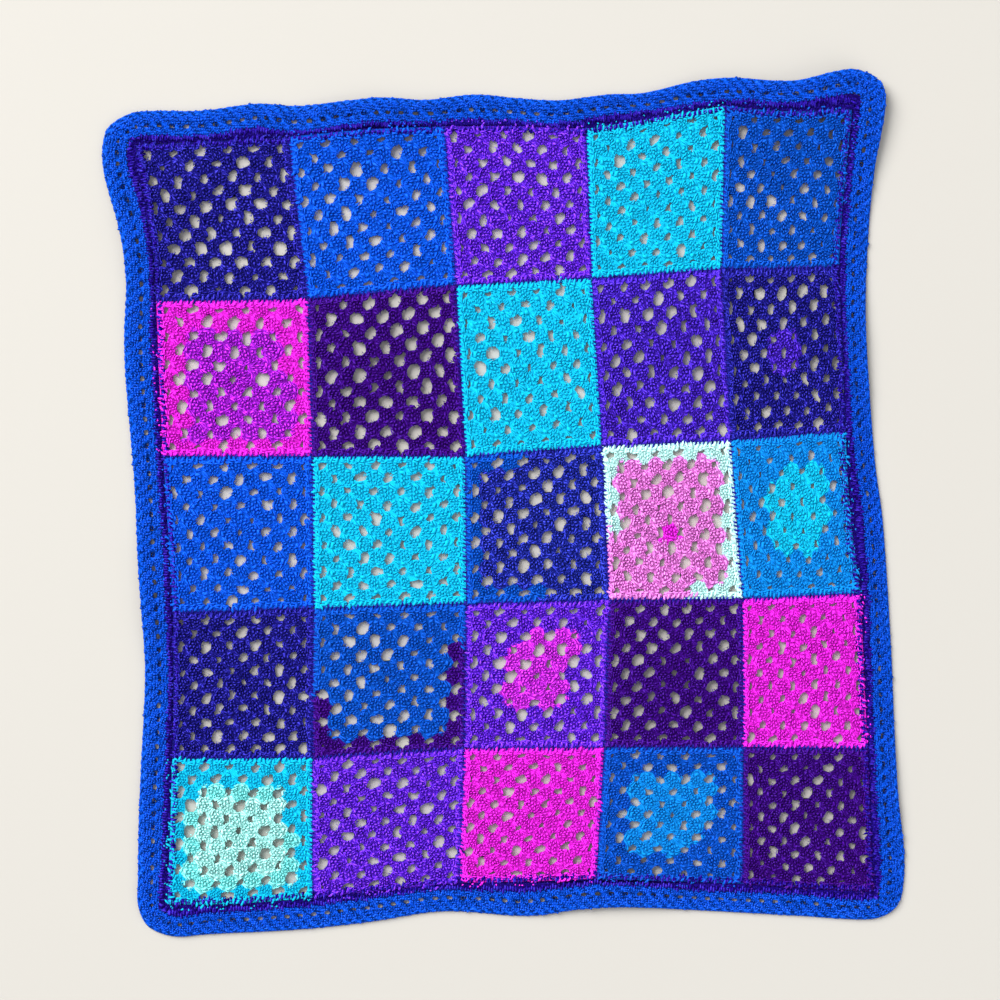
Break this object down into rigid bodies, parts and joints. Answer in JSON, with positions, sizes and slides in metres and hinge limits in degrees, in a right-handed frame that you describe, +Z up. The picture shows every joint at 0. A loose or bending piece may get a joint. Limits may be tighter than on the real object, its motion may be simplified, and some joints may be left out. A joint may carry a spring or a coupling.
{
  "type": "granny square blanket",
  "caption": "Flat crocheted lap blanket of joined square panels with open lattice gaps, a narrow joining round and a wide border with rounded corners.",
  "frame": {"origin": "under the middle of the outline's box, on the surface that the blanket lies on", "axes": "+Z up from the surface, +Y towards the far edge along the blanket's longer way, +X to the right"},
  "size_m": [0.6982, 0.754, 0.0137],
  "materials": {
    "navy_yarn": "matt acrylic yarn",
    "royal_yarn": "matt acrylic yarn",
    "blue_yarn": "matt acrylic yarn",
    "azure_yarn": "matt acrylic yarn",
    "cyan_yarn": "matt acrylic yarn",
    "mint_yarn": "matt acrylic yarn",
    "violet_yarn": "matt acrylic yarn",
    "iris_yarn": "matt acrylic yarn",
    "purple_yarn": "matt acrylic yarn",
    "plum_yarn": "matt acrylic yarn",
    "magenta_yarn": "matt acrylic yarn",
    "orchid_yarn": "matt acrylic yarn",
    "join_yarn": "matt acrylic yarn",
    "border_yarn": "matt acrylic yarn"
  },
  "bodies": {
    "root": {"square_r1c1": "navy_yarn", "square_r1c2": "royal_yarn", "square_r1c3": "violet_yarn", "square_r1c4": "cyan_yarn", "square_r1c5": "blue_yarn", "square_r2c1": "magenta_yarn", "square_r2c2": "plum_yarn", "square_r2c3": "cyan_yarn", "square_r2c4": "iris_yarn", "square_r2c5": "navy_yarn", "square_r3c1": "royal_yarn", "square_r3c2": "cyan_yarn", "square_r3c3": "navy_yarn", "square_r3c4": "orchid_yarn", "square_r3c5": "azure_yarn", "square_r4c1": "navy_yarn", "square_r4c2": "blue_yarn", "square_r4c3": "purple_yarn", "square_r4c4": "plum_yarn", "square_r4c5": "magenta_yarn", "square_r5c1": "mint_yarn", "square_r5c2": "violet_yarn", "square_r5c3": "magenta_yarn", "square_r5c4": "blue_yarn", "square_r5c5": "plum_yarn", "joining_round": "join_yarn", "border": "border_yarn"}
  },
  "joints": []
}
